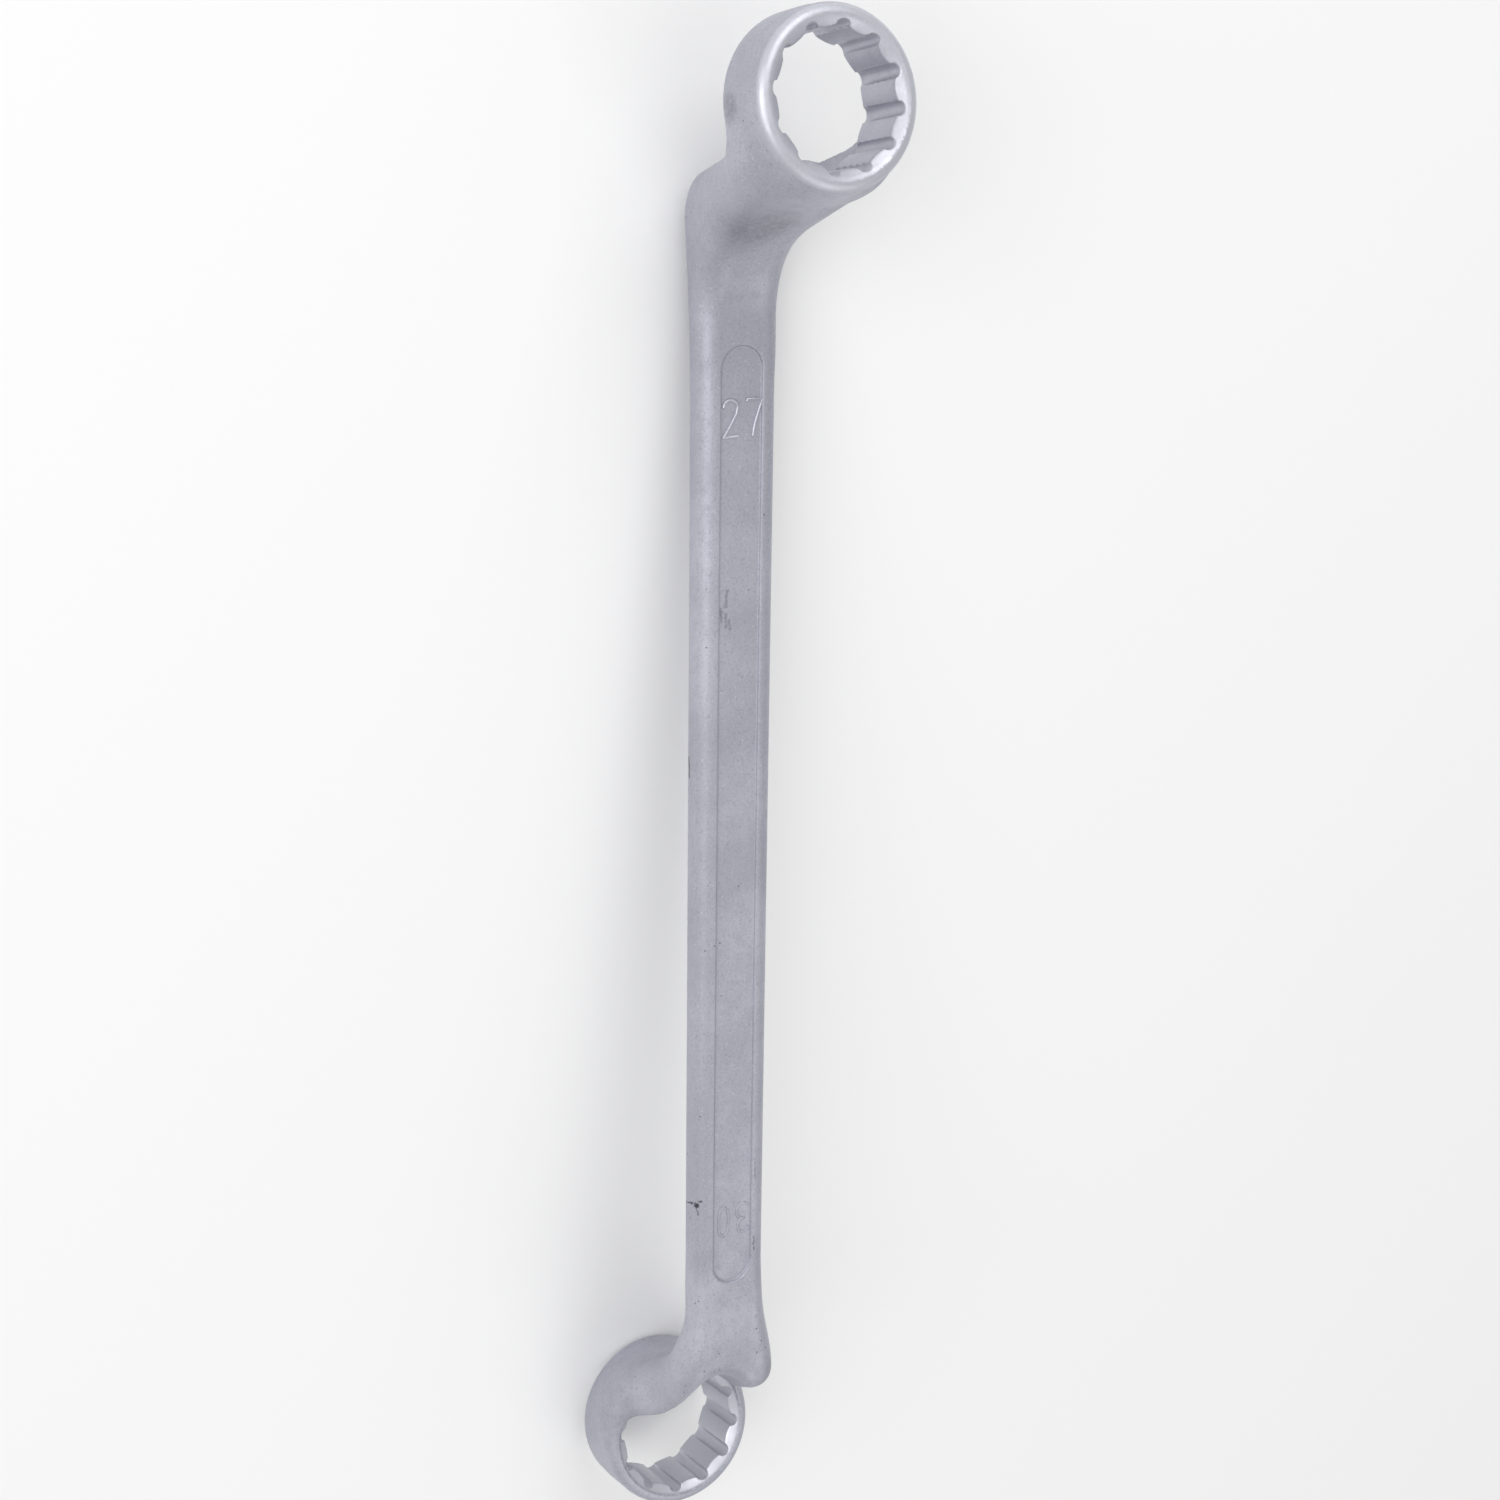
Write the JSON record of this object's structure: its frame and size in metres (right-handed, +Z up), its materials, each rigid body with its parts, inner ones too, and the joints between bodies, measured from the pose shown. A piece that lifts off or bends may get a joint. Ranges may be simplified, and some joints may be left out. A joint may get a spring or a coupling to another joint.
{
  "type": "offset ring spanner",
  "caption": "Deep-offset double-ended ring spanner: flat shank with a sunk panel, cranked necks and closed ring heads with toothed bores for hexagon nuts.",
  "frame": {"origin": "middle of the bounding box at its base, where the tool rests on the bench", "axes": "+X along the tool towards the smaller (27 mm) ring, +Z up from the bench, Y across the shank; the tool lies on the heel of the 27 mm crank and on the edge of the 30 mm ring, with a broad face of the shank up"},
  "size_m": [0.3988, 0.0412, 0.051],
  "materials": {
    "steel": "satin"
  },
  "bodies": {
    "root": {"ring_head_27": "steel", "crank_27": "steel", "shank": "steel", "crank_30": "steel", "ring_head_30": "steel"}
  },
  "joints": []
}
